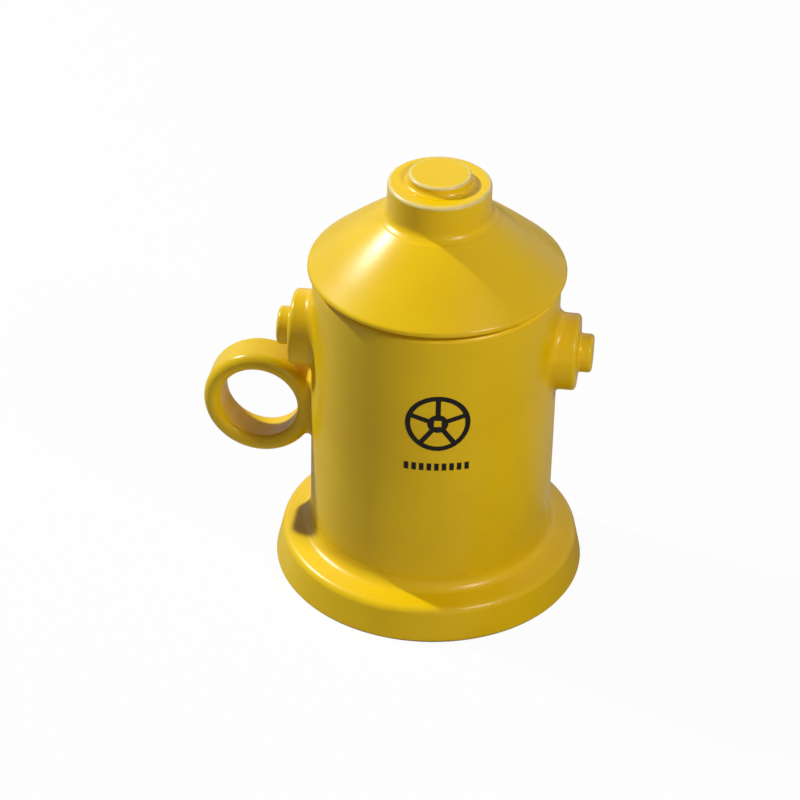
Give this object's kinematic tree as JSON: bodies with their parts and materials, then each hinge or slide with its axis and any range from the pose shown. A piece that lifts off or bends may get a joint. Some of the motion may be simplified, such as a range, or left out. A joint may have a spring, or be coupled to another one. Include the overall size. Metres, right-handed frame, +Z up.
{
  "type": "lidded ceramic container",
  "caption": "Hydrant-shaped glazed ceramic container with a lift-off conical lid and silicone seal, two blind side nozzles, a wide foot flange and a one-finger ring handle.",
  "frame": {"origin": "centre of the foot ring, on the surface that the container stands on", "axes": "+Z up along the barrel's axis; the side nozzles lie along X, the ring handle is on -X, and the printed mark faces -Y"},
  "size_m": [0.135, 0.1088, 0.1553],
  "materials": {
    "yellow_glaze": "satin opaque yellow glaze, paler where it breaks thin over sharp edges",
    "bare_clay": "unglazed fired stoneware, matt",
    "black_print": "fired black print, satin",
    "silicone": "translucent white silicone, matt"
  },
  "bodies": {
    "cup": {"foot_ring": "bare_clay", "base_flange": "yellow_glaze", "barrel": "yellow_glaze", "ring_handle": "yellow_glaze", "nozzle_boss_right": "yellow_glaze", "nozzle_boss_left": "yellow_glaze", "nozzle_cap_right": "yellow_glaze", "nozzle_cap_left": "yellow_glaze", "mark_wheel": "black_print", "mark_bars": "black_print"},
    "seal": {"seal_ring": "silicone"},
    "lid": {"lid_skirt": "yellow_glaze", "lid_cone": "yellow_glaze", "lid_finial": "yellow_glaze", "finial_button": "yellow_glaze"}
  },
  "joints": [
    {"name": "lid_lift", "type": "slide", "parent": "cup", "child": "seal", "axis": [0, 0, 1], "range_m": [0, 0.06]},
    {"name": "lid_turn", "type": "hinge", "parent": "seal", "child": "lid", "pos_m": [0, 0, 0.1182], "axis": [0, 0, 1], "continuous": true}
  ]
}
